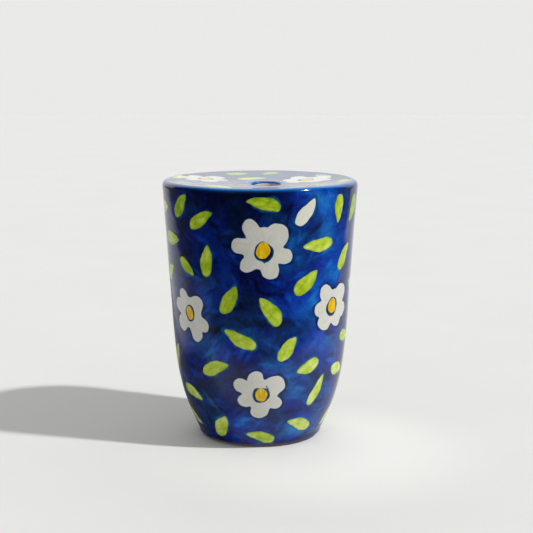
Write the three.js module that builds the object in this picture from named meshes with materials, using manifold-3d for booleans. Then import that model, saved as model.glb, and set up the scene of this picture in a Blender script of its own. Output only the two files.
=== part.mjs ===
// A hand-painted earthenware vase with a closed, slightly sunken top and one small round mouth.
// Units are millimetres, +Z is up, and the origin is the centre of the foot on the table.
//
// The potter makes it from four pieces of clay: a thrown cup, a slab that closes it, a coil that
// seals the corner between them, and a ring that it stands on. Two coats of glaze go over them: the
// painted coat outside and a clear one inside, which makes the porous clay hold water.

import * as THREE from "three";
import { mergeVertices } from "three/addons/utils/BufferGeometryUtils.js";
import Module from "manifold-3d";

const wasm = await Module();
wasm.setup();

// ---- Driving dimensions ----

const HEIGHT = 160; // from the table to the crest of the rim
const RIM_RADIUS = 60.2; // widest part of the vase, just under the rim
const WALL_TAPER = 0.068; // how much the wall's radius shrinks for each millimetre down
const TUCK = 13.1; // how much further the wall draws in by the time it reaches the table
const TUCK_HEIGHT = 70; // the wall starts to draw in below this height
const TUCK_POWER = 2.7;
const RIM_ROUND = 3.1; // radius of the rounded edge between wall and top

const SINK = 2.8; // how far the middle of the top has sagged below the rim
const MOUTH_RADIUS = 9.2;
const LIP_ROUND = 1.3;
const CLAY_BORE = 9.3; // radius of the bare clay below the glaze in the mouth
const MOUTH_CENTRE = [3.7, -1]; // the mouth is cut by hand, a little off the axis

const GLAZE = 0.6; // thickness of the painted coat
const LINER = 0.4; // thickness of the clear coat inside
const GAP = 0.3; // kept between any two pieces
const WALL = 6; // clay of the thrown wall
const FLOOR_TOP = 11;
const FLOOR_UNDERSIDE = 3.8;
const SLAB = 5.5; // clay of the top
const INNER_CORNER = 9; // radius between the floor and the wall, inside

const FOOT_OUTER = 35.1;
const FOOT_INNER = 27.5;
const FOOT_BEVEL = 0.9;
const GLAZE_LINE = 0.8; // the painted coat stops at this height and leaves the foot bare
const GLAZE_LINE_RADIUS = 35.9;
const TUCK_END = 3; // below this height the wall turns in under the vase

const COIL = 5; // radius of the sealing coil's hollow face
const COIL_EDGE = 0.8; // thickness left at the coil's two edges

const SEGMENTS = 48;
const CLAY_DEPTH = GLAZE + GAP; // the clay lies this far under the painted surface
const CREST_RADIUS = RIM_RADIUS - RIM_ROUND;
const SLAB_UNDERSIDE = HEIGHT - CLAY_DEPTH - SLAB;
const WALL_TOP = SLAB_UNDERSIDE - GAP;
const MOUTH_LEVEL = HEIGHT - SINK + 0.1; // height of the lip's crest
const LIP_CENTRE = MOUTH_RADIUS + LIP_ROUND;
const LIP_LEVEL = MOUTH_LEVEL - LIP_ROUND;
const GLAZE_IN_MOUTH = LIP_LEVEL - 0.6; // the painted coat ends at this height in the mouth

// ---- The vase's surface ----

// Radius of the painted surface at a height.
function wallRadius(z) {
  const straight = RIM_RADIUS - WALL_TAPER * (HEIGHT - RIM_ROUND - z);
  const below = Math.max(0, 1 - z / TUCK_HEIGHT);
  return straight - TUCK * below ** TUCK_POWER;
}

// Height of the painted top at a distance from the axis.
function topHeight(r) {
  return HEIGHT - SINK * (1 - Math.min(1, r / CREST_RADIUS) ** 2);
}

// `count` + 1 values from a to b, evenly spaced.
function steps(a, b, count) {
  return Array.from({ length: count + 1 }, (_, i) => a + ((b - a) * i) / count);
}

// Heights where a wall is sampled: close together where it draws in, and only at its ends above that.
function wallHeights(from, to) {
  const low = steps(0, 1, 6).map((t) => from + (TUCK_HEIGHT - from) * t ** 1.3);
  return [...low, to];
}

// Points on a circular arc, from one angle to another, in degrees.
function arc(r, z, radius, from, to, count) {
  return steps(from, to, count).map((degrees) => {
    const a = THREE.MathUtils.degToRad(degrees);
    return [r + radius * Math.cos(a), z + radius * Math.sin(a)];
  });
}

// The painted surface from the glaze line to the axis, moved inwards by `depth`.
function skin(depth, lowest) {
  const wall = wallHeights(lowest, HEIGHT - RIM_ROUND).map((z) => [wallRadius(z) - depth, z]);
  const rim = arc(CREST_RADIUS, HEIGHT - RIM_ROUND, RIM_ROUND - depth, 15, 90, 4);
  const top = steps(0.75, 0, 3).map((t) => [CREST_RADIUS * t, topHeight(CREST_RADIUS * t) - depth]);
  return [...wall, ...rim, ...top];
}

// The inside of the thrown cup from the axis to `highest`, moved inwards by `depth`.
function cupInside(depth, highest) {
  const cornerTop = FLOOR_TOP + INNER_CORNER;
  const cornerRadius = wallRadius(cornerTop) - CLAY_DEPTH - WALL - INNER_CORNER;
  const floor = [[0, FLOOR_TOP + depth]];
  const corner = arc(cornerRadius, cornerTop, INNER_CORNER - depth, -90, -15, 4);
  const wall = wallHeights(cornerTop, highest).map((z) => [wallRadius(z) - CLAY_DEPTH - WALL - depth, z]);
  return [...floor, ...corner, ...wall];
}

// ---- Making solids ----

function lathe(profile) {
  const points = profile.map(([r, z]) => new THREE.Vector2(r, z));
  return new THREE.LatheGeometry(points, SEGMENTS).rotateX(Math.PI / 2);
}

function closed(profile) {
  return [...profile, profile[0]];
}

function toSolid(geometry) {
  const bare = geometry.clone();
  bare.deleteAttribute("normal");
  bare.deleteAttribute("uv");
  const merged = mergeVertices(bare, 1e-4);
  return new wasm.Manifold(
    new wasm.Mesh({
      numProp: 3,
      vertProperties: merged.getAttribute("position").array,
      triVerts: new Uint32Array(merged.index.array),
    }),
  );
}

function toGeometry(solid) {
  const { vertProperties, triVerts } = solid.getMesh();
  const geometry = new THREE.BufferGeometry();
  geometry.setAttribute("position", new THREE.BufferAttribute(vertProperties, 3));
  geometry.setIndex(new THREE.BufferAttribute(triVerts, 1));
  geometry.computeVertexNormals();
  return geometry;
}

function atMouth(geometry) {
  return geometry.translate(MOUTH_CENTRE[0], MOUTH_CENTRE[1], 0);
}

// ---- The pieces ----

// Wall and floor, thrown in one piece. The wall's flat top takes the slab.
function thrownCup() {
  const underside = [
    [0, FLOOR_UNDERSIDE],
    [wallRadius(FLOOR_UNDERSIDE) - CLAY_DEPTH - 1.2, FLOOR_UNDERSIDE],
  ];
  const outside = wallHeights(FLOOR_UNDERSIDE + 0.8, WALL_TOP).map((z) => [wallRadius(z) - CLAY_DEPTH, z]);
  const inside = cupInside(0, WALL_TOP).reverse();
  return lathe([...underside, ...outside, ...inside]);
}

// The slab sags in the middle and is flat where it lies on the wall. The mouth is cut through it.
function topSlab() {
  const seat = wallRadius(WALL_TOP) - CLAY_DEPTH - WALL;
  const underside = steps(0, seat, 3).map((r) => [r, SLAB_UNDERSIDE - SINK * (1 - (r / seat) ** 2)]);
  const edge = wallRadius(SLAB_UNDERSIDE) - CLAY_DEPTH;
  const outside = skin(CLAY_DEPTH, SLAB_UNDERSIDE).filter(([, z]) => z > HEIGHT - RIM_ROUND - 0.1);
  const top = skin(CLAY_DEPTH, 0).slice(-4);
  const rim = outside.filter(([r]) => r >= CREST_RADIUS - 0.1);
  const slab = toSolid(lathe([...underside, [edge, SLAB_UNDERSIDE], ...rim, ...top]));

  const round = LIP_ROUND - CLAY_DEPTH;
  const low = SLAB_UNDERSIDE - 2 * SINK;
  const step = GLAZE_IN_MOUTH - GAP;
  const bore = [[0, low], [CLAY_BORE, low], [CLAY_BORE, step], [LIP_CENTRE - round, step]];
  const flare = arc(LIP_CENTRE, LIP_LEVEL, round, 180, 90, 3);
  const cutter = lathe([...bore, ...flare, [LIP_CENTRE, HEIGHT + 1], [0, HEIGHT + 1]]);
  return toGeometry(slab.subtract(toSolid(atMouth(cutter))));
}

// A coil of clay pressed into the corner between wall and slab, smoothed to a hollow.
function sealingCoil() {
  const outer = wallRadius(WALL_TOP - COIL) - CLAY_DEPTH - WALL - GAP;
  const top = WALL_TOP - 2 * GAP;
  const reach = COIL + COIL_EDGE;
  const hollow = arc(outer - reach, top - reach, COIL, 90, 0, 5);
  return lathe(closed([[outer, top - reach], [outer, top], [outer - reach, top], ...hollow]));
}

// The ring that the vase stands on, bare clay with both lower edges taken off.
function footRing() {
  const top = FLOOR_UNDERSIDE - GAP;
  return lathe(
    closed([
      [FOOT_INNER + FOOT_BEVEL, 0],
      [FOOT_OUTER - FOOT_BEVEL, 0],
      [FOOT_OUTER, FOOT_BEVEL],
      [FOOT_OUTER, top],
      [FOOT_INNER, top],
      [FOOT_INNER, FOOT_BEVEL],
    ]),
  );
}

// The painted coat: up the wall, over the rim, across the top and a little way down the mouth.
function paintedCoat() {
  const outside = [[GLAZE_LINE_RADIUS, GLAZE_LINE], [GLAZE_LINE_RADIUS + 1.5, GLAZE_LINE + 0.7]];
  const inside = [[GLAZE_LINE_RADIUS - 0.3, GLAZE_LINE + GLAZE], [GLAZE_LINE_RADIUS + 1.1, TUCK_END - 0.2]];
  const coat = [...outside, ...skin(0, TUCK_END), ...skin(GLAZE, TUCK_END + 0.5).reverse()];
  const sheet = toSolid(lathe(closed([...coat, ...inside.reverse()])));

  const low = SLAB_UNDERSIDE;
  const hole = lathe([[0, low], [LIP_CENTRE, low], [LIP_CENTRE, HEIGHT + 1], [0, HEIGHT + 1]]);
  const face = arc(LIP_CENTRE, LIP_LEVEL, LIP_ROUND, 90, 180, 4);
  const back = arc(LIP_CENTRE, LIP_LEVEL, LIP_ROUND - GLAZE, 180, 90, 3);
  const flange = LIP_CENTRE + 1;
  const collar = lathe(
    closed([
      [flange, MOUTH_LEVEL - GLAZE],
      [flange, MOUTH_LEVEL],
      ...face,
      [MOUTH_RADIUS, GLAZE_IN_MOUTH],
      [MOUTH_RADIUS + GLAZE, GLAZE_IN_MOUTH],
      ...back,
    ]),
  );
  return toGeometry(sheet.subtract(toSolid(atMouth(hole))).add(toSolid(atMouth(collar))));
}

// The clear coat inside, from the floor to just under the coil.
function linerCoat() {
  const highest = WALL_TOP - COIL - COIL_EDGE - 3 * GAP;
  const face = cupInside(GAP + LINER, highest);
  const back = cupInside(GAP, highest);
  return lathe([...back, ...face.reverse()]);
}

// ---- Assembly ----

const bareClay = new THREE.MeshStandardMaterial({ color: 0xb8795a, roughness: 0.9, metalness: 0 });
const blueGlaze = new THREE.MeshStandardMaterial({ color: 0x12306e, roughness: 0.12, metalness: 0 });
const clearGlaze = new THREE.MeshStandardMaterial({ color: 0xc9a184, roughness: 0.15, metalness: 0 });

const pieces = [
  ["foot_ring", footRing(), bareClay],
  ["thrown_cup", thrownCup(), bareClay],
  ["sealing_coil", sealingCoil(), bareClay],
  ["top_slab", topSlab(), bareClay],
  ["painted_coat", paintedCoat(), blueGlaze],
  ["liner_coat", linerCoat(), clearGlaze],
];

const vase = new THREE.Group();
for (const [name, geometry, material] of pieces) {
  const mesh = new THREE.Mesh(geometry, material);
  mesh.name = name;
  vase.add(mesh);
}

export default vase;
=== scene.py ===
"""A hand-painted earthenware bud vase: cobalt glaze, white flowers with orange centres, green leaves.

The pieces are those the potter makes in turn: the clay pieces, then the clear glaze inside, then the
painted coat. The painting is laid out on the vase as distances to each flower and leaf, kept as
attributes of the coat's mesh, and the material turns those distances into paint.
"""

import math
import random

import bpy
import numpy as np
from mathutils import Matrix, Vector


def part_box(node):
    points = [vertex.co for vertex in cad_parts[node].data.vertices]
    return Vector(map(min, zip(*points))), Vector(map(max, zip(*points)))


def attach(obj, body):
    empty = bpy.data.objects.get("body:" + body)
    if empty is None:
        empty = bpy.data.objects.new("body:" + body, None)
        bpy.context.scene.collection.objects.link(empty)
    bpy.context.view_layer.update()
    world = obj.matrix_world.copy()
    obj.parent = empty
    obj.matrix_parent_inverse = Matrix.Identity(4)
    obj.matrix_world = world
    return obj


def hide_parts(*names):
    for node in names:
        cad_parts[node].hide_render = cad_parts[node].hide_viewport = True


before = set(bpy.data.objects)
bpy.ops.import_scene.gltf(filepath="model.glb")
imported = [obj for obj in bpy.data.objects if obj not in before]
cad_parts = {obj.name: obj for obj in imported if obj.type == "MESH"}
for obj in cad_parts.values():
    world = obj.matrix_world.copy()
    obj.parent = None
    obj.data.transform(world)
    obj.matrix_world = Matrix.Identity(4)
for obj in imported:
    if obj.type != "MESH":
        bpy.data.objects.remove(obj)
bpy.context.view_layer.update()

MM = 0.001

# ---- The vase's sizes, in millimetres ----

coat_low, coat_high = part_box("painted_coat")
_, foot_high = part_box("foot_ring")

HEIGHT = coat_high.z / MM
RIM_RADIUS = coat_high.x / MM
WALL_TAPER = 0.068
TUCK = 13.1
TUCK_HEIGHT = 70
TUCK_POWER = 2.7
RIM_ROUND = 3.1
CREST_RADIUS = RIM_RADIUS - RIM_ROUND
SHOULDER = HEIGHT - RIM_ROUND
SINK = 2.8

MOUTH_CENTRE = (3.7, -1.0)
MOUTH_RADIUS = 9.2
LIP_ROUND = 1.3
LIP_TILT = 0.5  # the lip dips this much at the front and rises as much at the back
CLAY_BORE = 9.3
MOUTH_LEVEL = HEIGHT - SINK + 0.1
LIP_CENTRE = MOUTH_RADIUS + LIP_ROUND
LIP_LEVEL = MOUTH_LEVEL - LIP_ROUND

GLAZE = 0.6
LINER = 0.4
GAP = 0.3
CLAY_DEPTH = GLAZE + GAP
WALL = 6.0
SLAB = 5.5
FLOOR_TOP = 11.0
FLOOR_UNDERSIDE = 3.8
INNER_CORNER = 9.0
COIL = 5.0
COIL_EDGE = 0.8
COIL_DENTS = 42
COIL_DENT_DEPTH = 0.35
SLAB_UNDERSIDE = HEIGHT - CLAY_DEPTH - SLAB
WALL_TOP = SLAB_UNDERSIDE - GAP
FOOT_OUTER = foot_high.x / MM
FOOT_INNER = 27.5
FOOT_TOP = foot_high.z / MM

GLAZE_LINE = coat_low.z / MM
GLAZE_LINE_RADIUS = 35.9
COAT_COLUMNS = 384
WALL_START = 4.0  # above this the coat's rings are evenly spaced up the wall
WALL_RINGS = 158
RIM_RINGS = 8
TOP_RINGS = 48
CLAY_COLUMNS = 160
HAND_WAVE = 0.4  # how far the potter's hand leaves the surface from a true round, at the most
HAND_WAVE_LENGTH = 30.0
HAND_STEADY = 20  # the waves fade out from this height down to the table
HAND_SEED = 3.0
GROOVE_WANDER = 1.6  # how many turns the waves push the wheel's grooves up or down
WAVE_INSET = 0.22  # the true round is drawn this much smaller, so that the waves stay within the size

# ---- The painting ----
# A place on the wall is (degrees round the vase, millimetres up). Degrees are counted from the front
# towards the right. A place on the top is (millimetres right, millimetres back) of the axis.

# Each flower's petals are (direction in degrees, reach, breadth) about its eye, and they meet in a disc
# of the heart's radius. The eye is (breadth, height, how pointed its top is). It sits on dark ovals of
# its own shape, each (shift right, shift up, how much wider all round). A spur is a dark hair stroke,
# from one place to another.
FLOWER_SHAPES = {
    "windmill": {
        "heart": 11,
        "petals": [(119, 20.5, 9), (93, 14, 9), (48, 19, 14), (-16, 18, 9), (-70, 18, 10), (-136, 17, 9),
                   (168, 19, 9)],
        "eye": (8.1, 10.1, 0.5),
        "ovals": [(1.2, -1.0, 0.9), (-0.6, -0.8, 0.7), (0.0, 0.1, 0.35)],
        "spur": ((0.6, -7.4), (1.2, -5.0)),
    },
    "narrow": {
        "heart": 9.5,
        "petals": [(120, 16, 8), (44, 14, 11), (-31, 17, 8), (-68, 18, 9), (-139, 16, 10), (163, 16, 9)],
        "eye": (6.2, 8.3, 0.2),
        "ovals": [(0.1, -0.1, 1.2)],
        "spur": None,
    },
    "square": {
        "heart": 10,
        "petals": [(127, 16, 10), (37, 17, 12), (-18, 17, 9), (-57, 15, 10), (-126, 16, 11), (184, 15, 9)],
        "eye": (7.8, 9.0, 0.1),
        "ovals": [(-0.8, -0.9, 0.9), (0.2, 0.2, 0.8)],
        "spur": None,
    },
    "round": {
        "heart": 9.5,
        "petals": [(107, 16, 9), (38, 16.5, 12), (-32, 14, 8), (-95, 16, 11), (-157, 15, 8), (154, 18, 9)],
        "eye": (7.2, 8.8, 0.0),
        "ovals": [(-1.3, -0.2, 0.6), (1.1, 0.0, 0.3)],
        "spur": ((4.6, 1.0), (3.6, 6.0)),
    },
}

# (shape, place of the eye, turn in degrees). The first four are the front's.
WALL_FLOWERS = [
    ("windmill", (2, 124), 0),
    ("narrow", (-49.5, 83), 0),
    ("square", (51.5, 87), 0),
    ("round", (1, 36), 0),
    ("round", (103, 128), 40),
    ("windmill", (101, 40), 150),
    ("narrow", (150, 86), -30),
    ("square", (-104, 124), 60),
    ("windmill", (-99, 38), -80),
    ("round", (-151, 83), 110),
    ("narrow", (178, 129), 20),
    ("square", (-179, 37), -50),
]
TOP_FLOWERS = [
    ("round", (-34, 15), 20),
    ("square", (29, 15), -10),
]

# (stalk end, tip, breadth, bend to the left of the way it points)
WALL_LEAVES = [
    ((-57.5, 140.7), (-46.5, 154.7), 8, 0.6),
    ((-44.2, 135.5), (-27.5, 145.5), 7.6, 0.4),
    ((12, 148.3), (-7.5, 152.8), 7.4, -1.2),
    ((52.6, 154.8), (51.6, 137.6), 8, 0.2),
    ((73.8, 152.6), (66.4, 136.6), 9, 0.5),
    ((-75, 126.4), (-56.8, 126.4), 8.4, 0.2),
    ((-56, 116), (-43.7, 106), 6.4, 0.5),
    ((-34, 107), (-31.6, 126.4), 8.3, 0.2),
    ((-24, 85.8), (-14.2, 102.8), 8.6, -0.7),
    ((12.2, 78.8), (-0.2, 95.8), 9.1, -0.9),
    ((48, 126.8), (26, 125.2), 8.2, 0.5),
    ((55.8, 108.2), (67.4, 123.8), 7.8, 0.6),
    ((21.2, 97.6), (36.8, 110.2), 9.3, -0.7),
    ((-2, 65.6), (-22.6, 76), 8, 0.7),
    ((12.8, 57.2), (23.6, 71.6), 8.1, 0.4),
    ((-40.5, 47.4), (-20, 54.8), 8.2, 0.5),
    ((41.8, 54.8), (24.8, 49.2), 8.2, 0.2),
    ((-67.6, 34.4), (-46.4, 29.2), 7.8, 0.8),
    ((37, 26.6), (48.2, 45.4), 6.8, -0.6),
    ((56.2, 47.2), (74.4, 43.8), 8.2, 0.2),
    ((64.5, 66), (82, 64), 7.4, 0.4),
    ((-39, 6), (-26, 20.8), 8.8, 0.3),
    ((13, 4.6), (-12.2, 9.6), 7.4, -0.9),
    ((44.8, 10.4), (21.2, 18), 7.8, -0.9),
    ((-82.5, 44), (-68.4, 60.6), 8, 0.4),
    ((-80, 18), (-59, 10.5), 7.4, 0.4),
    ((-80.5, 99.5), (-67, 110), 7.4, 0.4),
    ((-81, 145), (-69, 145), 7.4, 0.2),
    ((84, 96), (75, 99), 7.4, 0.2),
    ((78.2, 19), (63.2, 9), 8.2, 0.2),
]
WHITE_LEAVES = [((21.1, 138.4), (32.8, 153.2), 8.0, -0.6)]
TOP_LEAVES = [
    ((-22, 40.5), (-8, 45), 8.5, 0.3),
    ((2, 44), (13, 46.5), 8.5, 0.3),
    ((-14, 20), (4, 28), 10, 0.4),
    ((-31, -23), (-16, -45), 12, 0.4),
    ((11, -50), (28, -37), 11, 0.4),
    ((-53, 8), (-50, 24), 8, 0.3),
    ((-50, -9), (-42, -22), 7, 0.4),
    ((44, 20), (36, 34), 8, 0.3),
    ((30, -14), (42, -22), 8, 0.4),
    ((50, -12), (53, 3), 7, 0.4),
]

# The back's other leaves are drawn by lot, wherever there is room.
SPARE_LEAVES = 60
SPARE_TRIES = 6000
SPARE_DEGREES = (84, 276)
SPARE_MIDDLES = (8, 151)  # the heights between which a leaf's middle is
SPARE_ENDS = (5, 154)
SPARE_LENGTH = (17, 22)
SPARE_BREADTH = (7.2, 9.2)
SPARE_CLEAR = 5
FLOWER_ROOM = 17
LEAF_ROOM = 4.5

# Where the blue is painted lighter or darker: partly the blue laid on thin or thick, and partly painted
# light and shade, lighter on the right towards the key and darker at the upper left. Each is (place,
# half breadth, half height, how much lighter).
WASHES_AND_PAINTED_LIGHT = [
    ((44, 133), 10, 12, 0.30),
    ((42, 152), 11, 8, 0.44),
    ((50, 107), 11, 13, 0.40),
    ((34, 96), 9, 9, 0.30),
    ((45, 66), 12, 13, 0.28),
    ((33, 66), 8, 8, 0.16),
    ((24, 86), 11, 12, 0.26),
    ((-36, 94), 9, 9, 0.20),
    ((-30, 64), 14, 9, 0.22),
    ((-3, 75), 12, 7, 0.14),
    ((-14, 17), 11, 9, 0.30),
    ((33, 13), 10, 8, 0.32),
    ((22, 38), 9, 13, 0.24),
    ((10, 52), 14, 7, 0.16),
    ((-4, 6), 13, 5, 0.16),
    ((21, 122), 9, 14, 0.20),
    ((-20, 112), 6, 9, 0.14),
    ((-42, 155), 18, 6, -0.16),
    ((-52, 116), 8, 8, -0.20),
    ((-50, 134), 9, 12, -0.16),
    ((-25, 150), 14, 8, -0.16),
    ((-14, 137), 7, 10, -0.18),
    ((-9, 109), 10, 8, -0.20),
    ((-6, 92), 9, 6, -0.16),
    ((4, 80), 13, 3.5, -0.34),
    ((-4, 157.5), 24, 3.0, -0.26),
    ((26, 156), 9, 5, 0.34),
    ((4, 148), 14, 7, -0.14),
    ((-10, 150), 10, 8, -0.06),
    ((34, 150), 8, 8, 0.08),
    ((-66, 24), 12, 16, -0.08),
    ((48, 12), 12, 9, 0.20),
    ((46, 33), 9, 8, 0.14),
    ((28, 9), 10, 7, 0.18),
    ((-56, 59), 8, 8, 0.14),
    ((9, 91), 7, 8, 0.10),
    ((20, 76), 9, 5, -0.04),
    ((58, 128), 7, 16, 0.14),
    ((57, 46), 8, 20, 0.20),
    ((-12, 50), 10, 7, -0.10),
]
RIM_BAND = 1.25  # half the breadth of the thin, bright blue line where the glaze has run off the rim
RIM_BAND_FADES = [(-72, 26), (78, 14)]  # where the line is weaker: (direction, half breadth), both in degrees
RIM_BAND_FADE = 0.85  # how much of the line is gone there
SPARE_WASHES = 30
DABS = 1100
DAB_LENGTH = (6, 15)
DAB_BREADTH = (1.6, 4.0)
DAB_STRENGTH = 0.2
LAYER_RELIEF = 0.07  # how thick the white and the green stand on the blue
PAINT_SEED = 11
FAR = 30.0  # further from paint than this makes no difference

# ---- Colours, linear ----
# The steps of a ramp are (position, colour).

BLUES = [  # (how thin the glaze is, as cobalt, as the greener blue)
    (0.1, (0.0002, 0.0008, 0.010), (0.0003, 0.002, 0.010)),
    (0.30, (0.0003, 0.003, 0.045), (0.0005, 0.008, 0.042)),
    (0.45, (0.0004, 0.009, 0.12), (0.001, 0.019, 0.10)),
    (0.60, (0.0005, 0.020, 0.23), (0.001, 0.044, 0.21)),
    (0.78, (0.0006, 0.050, 0.38), (0.003, 0.097, 0.36)),
    (1.0, (0.003, 0.14, 0.52), (0.015, 0.20, 0.50)),
]
LEAF_GREENS = [
    (0.1, (0.08, 0.16, 0.002)),
    (0.35, (0.18, 0.31, 0.003)),
    (0.58, (0.33, 0.47, 0.008)),
    (0.8, (0.48, 0.61, 0.06)),
    (1.0, (0.62, 0.72, 0.22)),
]
PETAL_WHITES = [(0.0, (0.56, 0.56, 0.50)), (0.45, (0.66, 0.66, 0.60)), (1.0, (0.74, 0.74, 0.68))]
EYE_ORANGES = [(0.0, (0.60, 0.29, 0.001)), (0.5, (0.72, 0.44, 0.001)), (1.0, (0.80, 0.62, 0.002))]
DRY_CLAY = [(0.2, (0.48, 0.31, 0.23)), (0.5, (0.62, 0.44, 0.34)), (0.8, (0.72, 0.56, 0.46))]
WET_CLAY = [(0.2, (0.30, 0.14, 0.07)), (0.5, (0.44, 0.24, 0.13)), (0.8, (0.56, 0.36, 0.22))]

# ---- The stage ----

FLOOR_REACH = 4000
LIT_PATCH = (30, -45, 0)
LIT_PATCH_REACH = (35, 125)
TO_KEY = (0.653, -0.238, 0.719)
KEY_STRENGTH = 2.6
KEY_BREADTH = 3.2  # degrees across
CAMERA_PLACE = (0.0040, -0.8115, 0.2395)
CAMERA_TILT = 80.6
LENS = 89.3
SENSOR = 36

# ---- The vase's surface ----


def wall_radius(z):
    """The wall's outside: a straight taper that tucks in towards the foot."""
    straight = RIM_RADIUS - WALL_TAPER * (SHOULDER - z)
    return straight - TUCK * max(0.0, 1 - z / TUCK_HEIGHT) ** TUCK_POWER


def top_height(distance):
    """The top at a distance from the axis: sunk in the middle, and level at the rim's crest."""
    return HEIGHT - SINK * (1 - min(1.0, distance / CREST_RADIUS) ** 2)


def spread(start, end, count):
    """`count` + 1 values from start to end, evenly spaced."""
    return [start + (end - start) * i / count for i in range(count + 1)]


def arc(centre, level, radius, start, end, count):
    """Points (distance from the axis, height) on a circle, angles in degrees."""
    angles = [math.radians(a) for a in spread(start, end, count)]
    return [(centre + radius * math.cos(a), level + radius * math.sin(a)) for a in angles]


# ---- Meshes of rings ----
# A row is (radius, height, shift, run). A shift of 1 centres the ring on the mouth, and 0 on the axis,
# and the rings close to the mouth tilt with its lip. A run above 0 lets the ring follow glaze that has
# run down by that many millimetres.


def near_lip(shift):
    """1 at the mouth's lip, fading to 0 within the last sixth of the way to it."""
    return np.maximum(0.0, shift * 6 - 5)


def glaze_run(around):
    """How far the glaze has run at each angle, from 0 to 1: least at the back, a little to the right."""
    broad = 0.46 + 0.46 * np.tanh(2.5 * np.cos(around - math.radians(242)) + 1.3)
    return broad + 0.05 * np.sin(5 * around + 1) + 0.03 * np.sin(11 * around)


def ring_points(rows, columns):
    """The points of every ring, as an array of rows by columns by 3, in millimetres."""
    radius, height, shift, run = (np.array(values)[:, None] for values in zip(*rows))
    around = np.arange(columns) * 2 * math.pi / columns
    x = radius * np.cos(around) + shift * MOUTH_CENTRE[0]
    y = radius * np.sin(around) + shift * MOUTH_CENTRE[1]
    tilt = LIP_TILT * np.sin(around) * near_lip(shift)
    return np.stack([x, y, height + tilt - run * glaze_run(around)], axis=-1)


def ring_faces(row_count, columns, closed):
    """Quads between neighbouring rings, and between the last and the first where the skin closes."""
    faces = []
    for row in range(row_count if closed else row_count - 1):
        this = row * columns
        following = (row + 1) % row_count * columns
        for column in range(columns):
            beside = (column + 1) % columns
            faces.append((this + column, this + beside, following + beside, following + column))
    return faces


def new_object(name, points, faces):
    mesh = bpy.data.meshes.new(name)
    mesh.from_pydata((points * MM).tolist(), [], faces)
    mesh.shade_smooth()
    mesh.validate()
    piece = bpy.data.objects.new(name, mesh)
    bpy.context.scene.collection.objects.link(piece)
    return piece


def closed_shell(name, rows, columns):
    """A shell that closes on itself, such as a coat with a hole through it."""
    points = ring_points(rows, columns).reshape(-1, 3)
    return new_object(name, points, ring_faces(len(rows), columns, closed=True))


def capped_shell(name, rows, columns, first_height, last_height):
    """A shell whose two ends meet the axis at the given heights."""
    points = ring_points(rows, columns).reshape(-1, 3)
    first = len(points)
    last = first + 1
    points = np.vstack([points, [[0, 0, first_height], [0, 0, last_height]]])
    faces = ring_faces(len(rows), columns, closed=False)
    end = (len(rows) - 1) * columns
    for column in range(columns):
        beside = (column + 1) % columns
        faces.append((first, beside, column))
        faces.append((last, end + column, end + beside))
    return new_object(name, points, faces)


def centred(profile, run=0.0):
    return [(r, z, 0.0, run) for r, z in profile]


def in_mouth(profile, run=0.0):
    return [(r, z, 1.0, run) for r, z in profile]


def across_top(depth, start, end, count):
    """Rings over the top between two shares of the way from the rim's crest to the lip's crest."""
    rows = []
    for share in spread(start, end, count):
        radius = CREST_RADIUS + (LIP_CENTRE - CREST_RADIUS) * share
        level = top_height(radius)
        level += (MOUTH_LEVEL - level) * near_lip(share)
        rows.append((radius, level - depth, share, 0.0))
    return rows


# ---- Distances to the brush strokes, in millimetres, negative inside ----


def wobble(points, seed):
    """The points moved a little, so that an outline has the brush's unsteadiness."""
    x, y = points[:, 0], points[:, 1]
    dx = 0.25 * np.sin(0.55 * y + seed) + 0.08 * np.sin(1.2 * y + 0.4 * x + 2.3 * seed)
    dy = 0.25 * np.sin(0.5 * x + 1.7 * seed) + 0.08 * np.sin(1.3 * x - 0.4 * y + seed)
    return points + np.stack([dx, dy], axis=-1)


def smooth_union(distances, softness):
    return -softness * np.log(np.sum([np.exp(-d / softness) for d in distances], axis=0))


def stroke_distance(points, tip, breadth):
    """Distance to a round-ended stroke whose middle line runs from the origin to `tip`."""
    along = np.clip(points @ tip / (tip @ tip), 0, 1)
    return np.linalg.norm(points - along[:, None] * tip, axis=1) - breadth / 2


def petals_distance(points, petals, heart):
    """Distance to round-ended petals that meet in a disc of the heart's radius."""
    distances = [np.linalg.norm(points, axis=1) - heart]
    for direction, reach, breadth in petals:
        a = math.radians(direction)
        tip = (reach - breadth / 2) * np.array([math.cos(a), math.sin(a)])
        distances.append(stroke_distance(points, tip, breadth))
    return smooth_union(distances, 0.45)


def oval_distance(points, breadth, height, pointed):
    """Distance to an upright oval whose top is drawn to a point as `pointed` nears 1."""
    x = points[:, 0] / (breadth / 2)
    y = points[:, 1] / (height / 2)
    squeeze = 1 - 0.55 * pointed * np.clip(y, 0, 1.2) ** 2
    return (np.hypot(x / squeeze, y) - 1) * min(breadth, height) / 2


def leaf_outline(length, breadth, bend):
    """Round at the stalk, pointed at the tip, and bent to one side."""
    t = np.linspace(0, 1, 26) ** 1.3
    half = (t**0.5) * (1 - t) ** 0.78
    half *= breadth / 2 / half.max()
    middle = 4 * bend * t * (1 - t)
    upper = np.stack([t * length, middle + half], axis=-1)
    lower = np.stack([t * length, middle - half], axis=-1)
    return np.vstack([upper, lower[-2:0:-1]])


def outline_distance(points, outline):
    """Signed distance to a closed outline of straight steps."""
    start = outline
    step = np.roll(outline, -1, axis=0) - start
    towards = points[:, None, :] - start[None]
    along = np.clip((towards * step).sum(-1) / (step**2).sum(-1), 0, 1)
    distance = np.linalg.norm(towards - along[..., None] * step, axis=-1).min(axis=1)
    end = start + step
    level = points[:, None, 1]
    crosses = (start[None, :, 1] > level) != (end[None, :, 1] > level)
    rise = np.where(step[:, 1] == 0, 1e-9, step[:, 1])
    crossing = start[None, :, 0] + (level - start[None, :, 1]) * (step[:, 0] / rise)[None]
    inside = (crosses & (points[:, None, 0] < crossing)).sum(axis=1) % 2 == 1
    return np.where(inside, -distance, distance)


# ---- Laying the painting on the coat ----


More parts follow.
